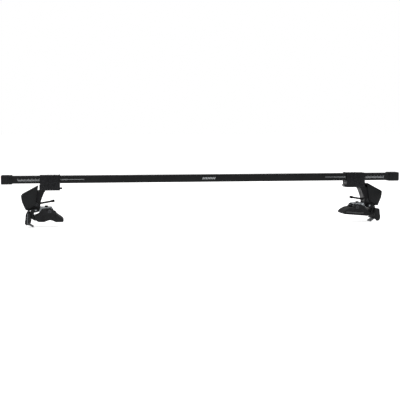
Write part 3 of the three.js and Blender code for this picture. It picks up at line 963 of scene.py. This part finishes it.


ARCHED = Shoe(
    0.0, 27.2, -123.0,
    (
        (-4.5, -121.8, 2), (12, -121.8, 3), (20, -118.6, 4), (28, -116.4, 4), (36, -118.6, 4),
        (45.5, -123, 3), (65, -123, 2), (67.6, -118.8, 2), (63.4, -112.4, 2), (46.6, -100.5, 2),
    ),
    (49.0, 53.0, 57.0, 61.0),
    (
        ((-4, -117.0), (12, -117.4), (28, -112), (44, -117.8), (62, -118.6)),
        ((8, -90), (3.5, -95), (-2, -103.5), (-8.5, -109)),
        ((44, -100.5), (47.8, -105.2), (59.5, -113)),
        ((-3.5, -112), (5.5, -101.5)),
        ((4.5, -113), (15, -101.5)),
        ((13, -112.5), (23, -102)),
        ((36.5, -104), (30.5, -110)),
        ((44, -106.5), (37.5, -112.8)),
        ((51, -110), (45.8, -115)),
    ),
)
FLAT = Shoe(
    5.0, 23.4, -116.4,
    ((-9, -116.4, 2), (66, -116.4, 3), (68.4, -112, 3), (63.5, -104.6, 3), (50, -96.4, 3)),
    (-1.0, 3.0, 7.0, 49.0, 53.0, 57.0, 61.0),
    (
        ((8, -90), (3.5, -95), (-2, -103.5), (-8.5, -109)),
        ((43.5, -99), (49, -102.5), (60, -107.6)),
        ((9.5, -103), (13.5, -96.5)),
        ((15.5, -104), (19, -98.5)),
    ),
    (((5, -107.5), (16, -109.0), (60, -109.0)),),
)


@dataclass
class FootTower:
    """One foot: bar clamp, post with its cover and lock, door-frame hook and roof pad."""

    stand: Stand
    shoe: Shoe
    clamp_length: float = 57.7
    strap_half: float = 19.3
    strap_top: float = 12.8
    strap_bottom: float = -31.3
    strap_bore: float = 16.3  # half the bar's depth, with play
    strap_roof: float = 11.3  # half its height, with play
    ribs: tuple[float, ...] = (23.0, 32.0, 43.0)
    fine_ribs: tuple[float, ...] = (18.2, 27.5, 37.5, 48.8)
    post_half: float = 19.0
    cover_half: float = 24.3
    cover_wall: float = 2.5
    cover_pin: tuple[float, float] = (-38.0, -84.0)
    lock_w: float = -58.0
    hook_pivot: tuple[float, float] = (-15.0, -47.0)
    hook_half: float = 38.0
    boot_proud: float = 1.5  # the boot's side over the hook's edge
    boot_flap: float = 3.0  # the same on the side where a flap closes the boot
    bolt_at: tuple[float, float] = (-21.05, -73.27)
    bolt_slope: float = math.radians(9.9)
    bolt_radius: float = 3.0
    arm_pin: tuple[float, float] = (-12.0, -87.5)
    pad_pin: tuple[float, float] = (27.3, -91.4)
    pad_half: float = 30.0
    heel_radius: float = 46.3
    screw_w: float = -22.0
    strap_screw: tuple[float, float] = (12.0, -22.0)

    def on_bolt(self, out: float) -> tuple[float, float, float]:
        """A point on the tension bolt's axis, a distance outwards from the hook plate.

        Args:
            out: The distance.

        Returns:
            The point in u, v and w.
        """
        u = self.bolt_at[0] - out * math.cos(self.bolt_slope)
        w = self.bolt_at[1] - out * math.sin(self.bolt_slope)
        return (u, 0.0, w)

    def bolt_axis(self, way: int) -> tuple[float, float, float]:
        """The bolt's axis, outwards for 1 and inwards for -1."""
        return (-way * math.cos(self.bolt_slope), 0.0, -way * math.sin(self.bolt_slope))

    def cross(self, place: tuple[float, float], v0: float, v1: float, radius: float) -> Shell:
        """A round bar across the tower."""
        return rod((place[0], v0, place[1]), (place[0], v1, place[1]), radius)

    def heel_arc(self, radius: float, drop_from: float, drop_to: float) -> list[tuple[float, float]]:
        """Points of a circle about the pad pin, from one drop below it to another.

        Args:
            radius: The circle's radius.
            drop_from: How far below the pin the arc starts.
            drop_to: How far below it the arc ends.

        Returns:
            The points in u and w.
        """
        drop = np.linspace(drop_from, drop_to, 8)
        u = self.pad_pin[0] - np.sqrt(radius * radius - drop * drop)
        return list(zip(u.tolist(), (self.pad_pin[1] - drop).tolist()))

    def strap_outline(self, proud: float) -> np.ndarray:
        """The strap's section, a tall U turned over.

        Args:
            proud: How far its outside is moved out.

        Returns:
            The outline's points in v and w.
        """
        side, top = self.strap_half + proud, self.strap_top + proud
        low, bore, roof = self.strap_bottom, self.strap_bore, self.strap_roof
        corners = [(side, low), (side, top, 5.0), (-side, top, 5.0), (-side, low)]
        corners += [(-bore, low), (-bore, roof, 3.3), (bore, roof, 3.3), (bore, low)]
        return softened(corners, 8)

    def strap(self) -> None:
        """The strap with its end rim and its upright ribs, coarse and fine."""
        shell = slab(self.strap_outline(0.0), 0.0, self.clamp_length - 0.4, 0.5, Carry.ALONG)
        rim = slab(self.strap_outline(1.0), self.clamp_length - 3, self.clamp_length, 0.4, Carry.ALONG)
        half = self.strap_half
        coarse = [box((u - 1.3, u + 1.3), (half - 0.5, half + 1.0), (-28.0, 6.0), 0.45) for u in self.ribs]
        fine = [box((u - 0.7, u + 0.7), (half - 0.5, half + 0.5), (-27.0, 5.0), 0.25) for u in self.fine_ribs]
        near = coarse + fine
        top = [
            box((u - 1.3, u + 1.3), (-13.5, 13.5), (self.strap_top - 0.5, self.strap_top + 0.6), 0.3)
            for u in self.ribs
        ]
        shell = shell.joined(rim, *near, *[each.mirrored() for each in near], *top)
        self.stand.put(shell, "clamp_strap", POWDERED, "tower", "black_steel")

    def strap_screws(self) -> None:
        """The two pan-head screws that tie the strap to the tray."""
        u, w = self.strap_screw
        seat = self.strap_half + PLAY
        stem = [(1.3, 12.95 - seat), (1.6, 13.3 - seat), (1.6, 0.0)]
        head = [(3.3, 0.0), (3.6, 0.3), (3.45, 1.1), (2.9, 1.65), (2.2, 1.9)]
        for side, name in ((-1, "a"), (1, "b")):
            profile, shape = socketed(stem + head, 1.3, 1.1)
            shell = lathe(profile, (u, side * seat, w), (0, side, 0), shape=shape)
            self.stand.put(shell, f"strap_screw_{name}", BLACKED, "tower", "steel")

    def clamp_screw(self) -> None:
        """The long screw in the tray, whose socket faces outwards."""
        stem = [(2.2, -50.6), (2.5, -50.3), (2.5, 0.0)]
        head = [(3.95, 0.0), (4.25, 0.3), (4.25, 4.6), (3.85, 5.0)]
        profile, shape = socketed(stem + head, 2.3, 2.6)
        shell = lathe(profile, (5.4, 0.0, self.screw_w), (-1, 0, 0), shape=shape)
        self.stand.put(shell, "clamp_screw", ZINC, "screw", "zinc_steel")

    def cover(self) -> None:
        """The hinged cover: a thin shell with round edges and a raised field on each side."""
        skin = softened(
            [
                (-5.5, -17.6, 3.4), (-53.9, -43.4, 3.4), (-53, -54.7, 3), (-51.2, -64, 3), (-45.6, -77, 3),
                (-42.3, -85, 2), (-38, -88.2, 3), (-33.5, -85.5, 2), (-14, -74, 3),
            ]
        )
        room = softened(
            [
                (12, -12.2), (-50.6, -44.4, 1.5), (-50.4, -54.5), (-48.8, -63.2), (-43.4, -76),
                (-38, -92), (12, -92),
            ]
        )
        field_line = softened(
            [
                (-8.4, -25, 2), (-49, -46, 2), (-48.4, -54.6, 3), (-46.8, -62.6, 3), (-41.4, -75.2, 2),
                (-37.6, -77.6, 2), (-18, -69.6, 2),
            ]
        )
        hollow = self.cover_half - self.cover_wall
        half = self.cover_half
        raised = slab(field_line, half - 0.6, half + 0.45, 0.4)
        shell = carved(
            slab(skin, -half, half, 1.5, steps=4),
            slab(room, -hollow, hollow, 0.0),
            box((-9, 6), (-hollow, hollow), (-26, -8)),
            box((-60, -30), (-hollow, hollow), (-95, -71)),
            rod((-60, 0, self.lock_w), (-40, 0, self.lock_w), 8.4, 0.1),
            self.cross(self.cover_pin, -30, 30, 2.3),
        )
        shell = shell.joined(raised, raised.mirrored())
        self.stand.put(shell, "cover", MOULDED, "cover", "moulded_plastic")

    def cover_pins(self) -> None:
        """The two headed stubs that the cover turns on."""
        head = self.cover_half + PLAY
        u, w = self.cover_pin
        profile = [(1.7, 16.2), (2.0, 16.5), (2.0, head), (3.3, head), (3.6, head + 0.3)]
        profile += [(3.6, head + 1.0), (3.2, head + 1.45), (2.4, head + 1.6)]
        for side, name in ((-1, "a"), (1, "b")):
            shell = lathe(profile, (u, 0.0, w), (0, side, 0))
            self.stand.put(shell, f"cover_pin_{name}", BLACKED, "tower", "steel")

    def lock(self) -> None:
        """The lock's barrel with its keyway, and the cam on its inner end."""
        profile = [(7.6, 0.0), (8.0, 0.4), (8.0, 7.6), (7.6, 8.0), (6.4, 8.0), (6.2, 7.2), (1.0, 7.2)]
        barrel = lathe(profile, (-44.2, 0.0, self.lock_w), (-1, 0, 0), 48)
        keyway = box((-57, -48), (-0.9, 0.9), (self.lock_w - 4.2, self.lock_w + 4.2))
        self.stand.put(carved(barrel, keyway), "lock_cylinder", BLACKED, "lock", "zinc_steel")
        plug = [(5.7, 0.0), (5.9, 0.2), (5.9, 1.0), (5.6, 1.3), (1.0, 1.3)]
        face = lathe(plug, (-50.9, 0.0, self.lock_w), (-1, 0, 0), 48)
        self.stand.put(carved(face, keyway), "lock_face", ZINC, "lock", "zinc_steel", replaced=False)
        self.stand.eased("lock_cam", DRAWN_STEEL, "lock", "steel", 0.4)

    def hook(self) -> None:
        """The rubber boot, its flap over one edge, and the inner pad on the hook's steel."""
        boot = softened(
            [
                (-37.1, -96), (-38.25, -124.1), (-36.5, -128.6), (-38.6, -130.2, 1), (-43, -126.5, 3),
                (-43.3, -120, 3), (-41.9, -112.4), (-40.6, -97.5, 2), (-39, -96, 1),
            ]
        )
        side = self.hook_half
        grips = [box((-46, -40.4), (-45, 45), (w, w + 1.3)) for w in (-104.0, -109.5)]
        grips += [box((-46, -41.6), (-45, 45), (w, w + 1.3)) for w in (-115.0, -120.5)]
        body = carved(slab(boot, -side - self.boot_proud, side + 1.3, 0.6), *grips)
        flap = softened(
            [
                (-40.6, -97.5, 2), (-41.9, -112.4), (-43.3, -120, 3), (-43, -128, 4), (-37, -134, 3),
                (-29.5, -133, 3), (-27.5, -124, 4), (-27.3, -98.5, 2), (-29, -96, 1), (-39, -96, 1),
            ]
        )
        field_line = softened(
            [(-38.3, -101, 2), (-40.8, -120, 3), (-40.2, -127, 3), (-36.4, -130.8, 3), (-31, -129.8, 3),
             (-29.8, -122, 3), (-29.6, -101, 2)]
        )
        raised = slab(field_line, side + 2.6, side + 3.5, 0.4)
        body = body.joined(slab(flap, side + PLAY, side + self.boot_flap, 0.6), raised)
        self.stand.put(body, "hook_boot", RUBBER, "hook", "rubber")
        pad = softened(
            [
                (-33.35, -96), (-34.6, -123.5), (-31.6, -125.4, 1.5), (-29.4, -121.5, 2),
                (-27.5, -111), (-27.3, -98.5, 2), (-29, -96, 1),
            ]
        )
        self.stand.put(slab(pad, -side, side, 0.5), "hook_inner_pad", RUBBER, "hook", "rubber")
        self.stand.eased("hook_plate", DULL_ZINC, "hook", "zinc_steel", 0.5)

    def bolt(self) -> None:
        """The tension bolt, its washer, its capped end and the barrel nut."""
        stem = [(3.0, 0.0)]
        head = [(4.6, 0.0), (5.0, 0.4), (5.0, 5.2), (4.5, 5.7)]
        profile, shape = socketed(stem + head, 2.9, 3.2)
        body = lathe(profile, self.on_bolt(7.0), self.bolt_axis(1), shape=shape)
        stem_rows = [(2.9, 0.0), (2.9, 8.2), (2.5, 8.6)]
        shank = lathe(stem_rows, self.on_bolt(7.2), self.bolt_axis(-1))
        thread = threaded(self.on_bolt(-1.0), self.bolt_axis(-1), 61.0, self.bolt_radius, 1.0, 0.35)
        self.stand.put(body.joined(shank, thread), "tension_bolt", BLACKED, "bolt", "black_steel", smooth=50)
        dome = [(3.3, 4.3), (3.3, 0.2), (3.6, 0.1), (5, 0.6), (6.4, 1.4), (7.3, 2.4), (7.5, 2.8)]
        dome += [(7.5, 4.2), (7.2, 4.5), (3.5, 4.5)]
        washer = lathe(dome, self.on_bolt(1.9), self.bolt_axis(1), endless=True)
        self.stand.put(washer, "bolt_washer", ZINC, "washer", "zinc_steel")
        tip = [(3.3, 8.3), (3.3, 0.2), (3.5, 0.0), (3.7, 0.0), (3.9, 0.3), (3.9, 8.4), (3.6, 9.1), (2.8, 9.4)]
        cap = lathe(tip, self.on_bolt(-54.0), self.bolt_axis(-1))
        self.stand.put(cap, "bolt_tip", MOULDED, "bolt", "moulded_plastic")
        u, _, w = self.on_bolt(-10.3)
        nut = carved(
            self.cross((u, w), -18.8, 18.8, 6.0),
            rod(self.on_bolt(0), self.on_bolt(-25), 3.3, 0.1),
            box((u - 7, u + 7), (-20, -17.8), (w - 0.6, w + 0.6)),
            box((u - 7, u + 7), (17.8, 20), (w - 0.6, w + 0.6)),
        )
        self.stand.put(nut, "barrel_nut", BLACKED, "tower", "zinc_steel")

    def foot_hardware(self) -> None:
        """The arm's pins and knob, and the hook's pivot pin."""
        self.stand.put(
            self.cross(self.hook_pivot, -19.4, 19.4, 2.5), "hook_pivot_pin", DRAWN_STEEL, "tower", "steel"
        )
        u, w = self.arm_pin
        ends = [(3.9, 0.0), (4.4, 0.4), (4.4, 1.1), (3.0, 1.5)]
        profile = ends + [(3.0, 62.1), (4.4, 62.5), (4.4, 63.2), (3.9, 63.6)]
        pin = lathe(profile, (u, -31.8, w), (0, 1, 0))
        self.stand.put(pin, "arm_pin", ZINC, "tower", "zinc_steel")
        ring = [(2.0, 0.1), (2.3, -0.25), (4.3, -0.25), (4.75, 0.2), (4.75, 1.3), (4.45, 1.3), (4.45, 0.1)]
        cap = lathe(ring, (u, -31.75, w), (0, 1, 0), endless=True)
        rings = cap.joined(cap.mirrored())
        self.stand.put(rings, "arm_pin_rings", BLACKED, "tower", "black_steel", replaced=False)
        u, w = self.pad_pin
        half = [(4.0, 0.0), (4.0, 30.3), (5.1, 30.3), (5.4, 30.6), (5.4, 31.7), (5.0, 32.0)]
        profile, shape = socketed(half, 2.4, 1.3)
        stub = lathe(profile, (u, 0.0, w), (0, 1, 0), shape=shape)
        self.stand.put(stub.joined(stub.mirrored()), "pad_pin", PHOSPHATED, "tower", "zinc_steel")
        knob = [(1.8, 0.0), (2.1, 0.3), (2.1, 4.8), (4.9, 4.8), (5.3, 5.1), (5.3, 6.6), (5.0, 7.4)]
        knob += [(4.2, 8.1), (3.0, 8.5), (1.2, 8.7)]
        sides, count = 48, 12
        flutes = np.ones((len(knob), sides))
        flutes[4:7] = 1 - 0.05 * (0.5 + 0.5 * np.cos(np.arange(sides) * 2 * math.pi * count / sides))
        shell = lathe(knob, (17.7, 0.0, -84.5), (0, 0, 1), sides, flutes)
        self.stand.put(shell, "arm_knob", MOULDED, "tower", "rubber")

    def heel_block(self) -> None:
        """The fixed block between hook and pad, with slanted ribs on its sides."""
        outline = softened(
            [
                (-26, -85, 2), (-26, -111.5, 2), (-13.4, -118.4),
                *self.heel_arc(self.heel_radius + 1.2, 26, 6),
                (-19, -94.6), (-6.5, -93), (-6.5, -85, 3), (-22, -83.4, 3),
            ]
        )
        half = self.pad_half
        clear = self.post_half + PLAY
        shell = carved(
            slab(outline, -half, half, 0.8),
            box((-30, 2), (-clear, clear), (-94.6, -80)),
            self.cross(self.arm_pin, -40, 40, 3.3),
        )
        lines = [((-24.4, w), (-19.5, w + 5.5)) for w in (-110.5, -106.3, -102.1, -97.9, -93.7)]
        lines.append(((-21.2, -112.6), (-17.5, -108.4)))
        ribs = [slab(strip(list(line), 1.4), half - ROOT, half + 0.6, 0.3) for line in lines]
        shell = shell.joined(*ribs, *[rib.mirrored() for rib in ribs])
        self.stand.put(shell, "heel_block", MOULDED, "tower", "moulded_plastic")

    def roof_pad(self) -> None:
        """The rubber shoe: grooved below, hollowed for the arm, ribbed on its sides."""
        outline = softened(
            [
                *self.heel_arc(self.heel_radius, 13.1, self.shoe.heel_drop),
                *self.shoe.sole,
                (43.5, -94.6, 2), (38.2, -93, 2), (35.2, -87, 2), (31, -84, 2), (6, -84.5, 4),
                (1, -90, 4), (-6, -101, 4),
            ]
        )
        half = self.pad_half
        low = self.shoe.lowest
        grooves = [box((u - 0.7, u + 0.7), (-34, 34), (low - 2, low + 0.9)) for u in self.shoe.grooves]
        shell = carved(
            slab(outline, -half, half, 1.0, steps=4),
            box((-25, 41.5), (-16.2, 16.2), (-103, -70)),
            box((-25, 5), (-19.8, 19.8), (-103, -70)),
            self.cross(self.pad_pin, -40, 40, 4.3),
            *grooves,
        )
        ribs = [slab(strip(list(line), 1.6), half - ROOT, half + 0.8, 0.35) for line in self.shoe.ribs]
        boss = lathe(
            [(5.9, -1.0), (5.9, 0.6), (6.2, 0.9), (8.6, 0.9), (9.0, 0.5), (9.0, -1.0)],
            (self.pad_pin[0], half, self.pad_pin[1]), (0, 1, 0), endless=True,
        )
        sides = [*ribs, boss]
        shell = shell.joined(*sides, *[each.mirrored() for each in sides])
        shell = shell.turned(self.pad_pin, self.shoe.tilt)
        self.stand.put(shell, "roof_pad", RUBBER, "pad", "rubber")
        # each band is painted lighter grey: a painted highlight along the pad's side
        for line in self.shoe.bands:
            band = slab(strip(list(line), 3.4), half - ROOT, half + 1.4, 0.6)
            band = band.joined(band.mirrored()).turned(self.pad_pin, self.shoe.tilt)
            self.stand.put(band, "pad_band", PAINTED_HIGHLIGHT_RUBBER, "pad", "rubber", replaced=False)

    def build(self) -> None:
        """Builds and dresses the whole foot."""
        self.stand.eased("tower_body", POWDERED, "tower", "black_steel", 0.5)
        self.strap()
        self.strap_screws()
        self.clamp_screw()
        self.stand.eased("clamp_jaw", MOULDED, "jaw", "moulded_plastic", 0.4)
        self.stand.eased("clamp_wedge", BLACKED, "wedge", "zinc_steel", 0.4)
        self.cover()
        self.cover_pins()
        self.lock()
        self.hook()
        self.bolt()
        self.stand.eased("foot_arm", ZINC, "tower", "zinc_steel", 0.4)
        self.foot_hardware()
        self.heel_block()
        self.roof_pad()


# ---------------------------------------------------------------- studio


@dataclass
class Studio:
    """A pale floor, soft lights and the camera."""

    target: tuple[float, float, float] = (-0.0185, 0.0, 0.0727)
    azimuth: float = -8.85
    elevation: float = 4.87
    distance: float = 2.569
    lens: float = 77.06
    floor_half: float = 30.0
    room: float = 0.3  # light of the room on the object, the backdrop being 1
    glow: float = 0.75  # light from under the translucent floor

    def floor(self) -> None:
        """A matt white floor with a faint mottle, far wider than the object."""
        half = self.floor_half
        mesh = bpy.data.meshes.new("floor_shape")
        corners = [(-half, -half, 0), (half, -half, 0), (half, half, 0), (-half, half, 0)]
        mesh.from_pydata(corners, [], [(0, 1, 2, 3)])
        made = bpy.data.objects.new("studio_floor", mesh)
        bpy.context.scene.collection.objects.link(made)
        paint = bpy.data.materials.new("matt_white_floor_paint")
        paint.use_nodes = True
        tree = paint.node_tree
        tree.nodes.clear()
        place = add(tree, "ShaderNodeTexCoord").outputs["Object"]
        mottle = add(tree, "ShaderNodeTexNoise", Vector=place, Scale=6.0, Detail=3.0)
        tone = add(tree, "ShaderNodeMix", {"data_type": "RGBA"})
        tone.inputs[6].default_value = linear("#f4f4f4")
        tone.inputs[7].default_value = linear("#fafafa")
        tree.links.new(mottle.outputs[0], tone.inputs[0])
        shader = add(
            tree,
            "ShaderNodeBsdfPrincipled",
            Base_Color=tone.outputs[2],
            Roughness=0.9,
            Specular_IOR_Level=0.1,
            Emission_Color=(1.0, 1.0, 1.0, 1.0),
            Emission_Strength=self.glow,
        )
        add(tree, "ShaderNodeOutputMaterial", Surface=shader.outputs[0])
        mesh.materials.append(paint)

    def light(self, name: str, place: tuple[float, float, float], size: float, power: float) -> None:
        """A square soft light that faces the object.

        Args:
            name: The light's name.
            place: Where it hangs, in metres.
            size: Length of its side, in metres.
            power: Its power, in watts.
        """
        lamp = bpy.data.lights.new(name, "AREA")
        lamp.size = size
        lamp.energy = power
        made = bpy.data.objects.new(name, lamp)
        made.location = place
        bpy.context.scene.collection.objects.link(made)
        aim = np.array(self.target) - np.array(place)
        flat = math.hypot(aim[0], aim[1])
        made.rotation_euler = (math.atan2(flat, -aim[2]), 0.0, math.atan2(aim[1], aim[0]) - math.pi / 2)

    def camera(self) -> None:
        """The camera, level, looking at the target from the given angles."""
        lens = bpy.data.cameras.new("camera")
        lens.lens = self.lens
        lens.sensor_width = 36.0
        made = bpy.data.objects.new("camera", lens)
        a, e = math.radians(self.azimuth), math.radians(self.elevation)
        back = np.array([math.sin(a) * math.cos(e), -math.cos(a) * math.cos(e), math.sin(e)])
        made.location = np.array(self.target) + back * self.distance
        made.rotation_euler = (math.pi / 2 - e, 0.0, a)
        bpy.context.scene.collection.objects.link(made)
        bpy.context.scene.camera = made

    def build(self) -> None:
        """Sets the stage."""
        scene = bpy.context.scene
        scene.view_settings.view_transform = "Standard"
        world = bpy.data.worlds.new("white_room")
        world.use_nodes = True
        tree = world.node_tree
        tree.nodes.clear()
        seen = add(tree, "ShaderNodeLightPath").outputs["Is Camera Ray"]
        strength = add(tree, "ShaderNodeMapRange", Value=seen, To_Min=self.room, To_Max=1.0)
        white = add(
            tree, "ShaderNodeBackground", Color=(1.0, 1.0, 1.0, 1.0), Strength=strength.outputs[0]
        )
        add(tree, "ShaderNodeOutputWorld", Surface=white.outputs[0])
        scene.world = world
        self.floor()
        self.light("key_light", place=(-1.4, -1.5, 2.0), size=1.2, power=34.0)
        self.light("fill_light", place=(1.8, -0.6, 1.6), size=1.0, power=14.0)
        self.light("back_light", place=(0.2, 2.2, 1.8), size=1.6, power=20.0)
        self.camera()


def main() -> None:
    """Builds the studio, the bar and both feet."""
    logging.basicConfig(level=logging.INFO, format="%(name)s %(message)s")
    jacket_low, jacket_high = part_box("bar_jacket")
    rise = (jacket_low.z + jacket_high.z) / 2
    Studio().build()
    CrossBar(Stand("", 0.0, 1.0, rise)).build()
    left_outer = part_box("left_clamp_strap")[0].x
    right_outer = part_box("right_clamp_strap")[1].x
    FootTower(Stand("left", left_outer, 1.0, rise), ARCHED).build()
    FootTower(Stand("right", right_outer, -1.0, rise), FLAT).build()


if __name__ == "__main__":
    main()
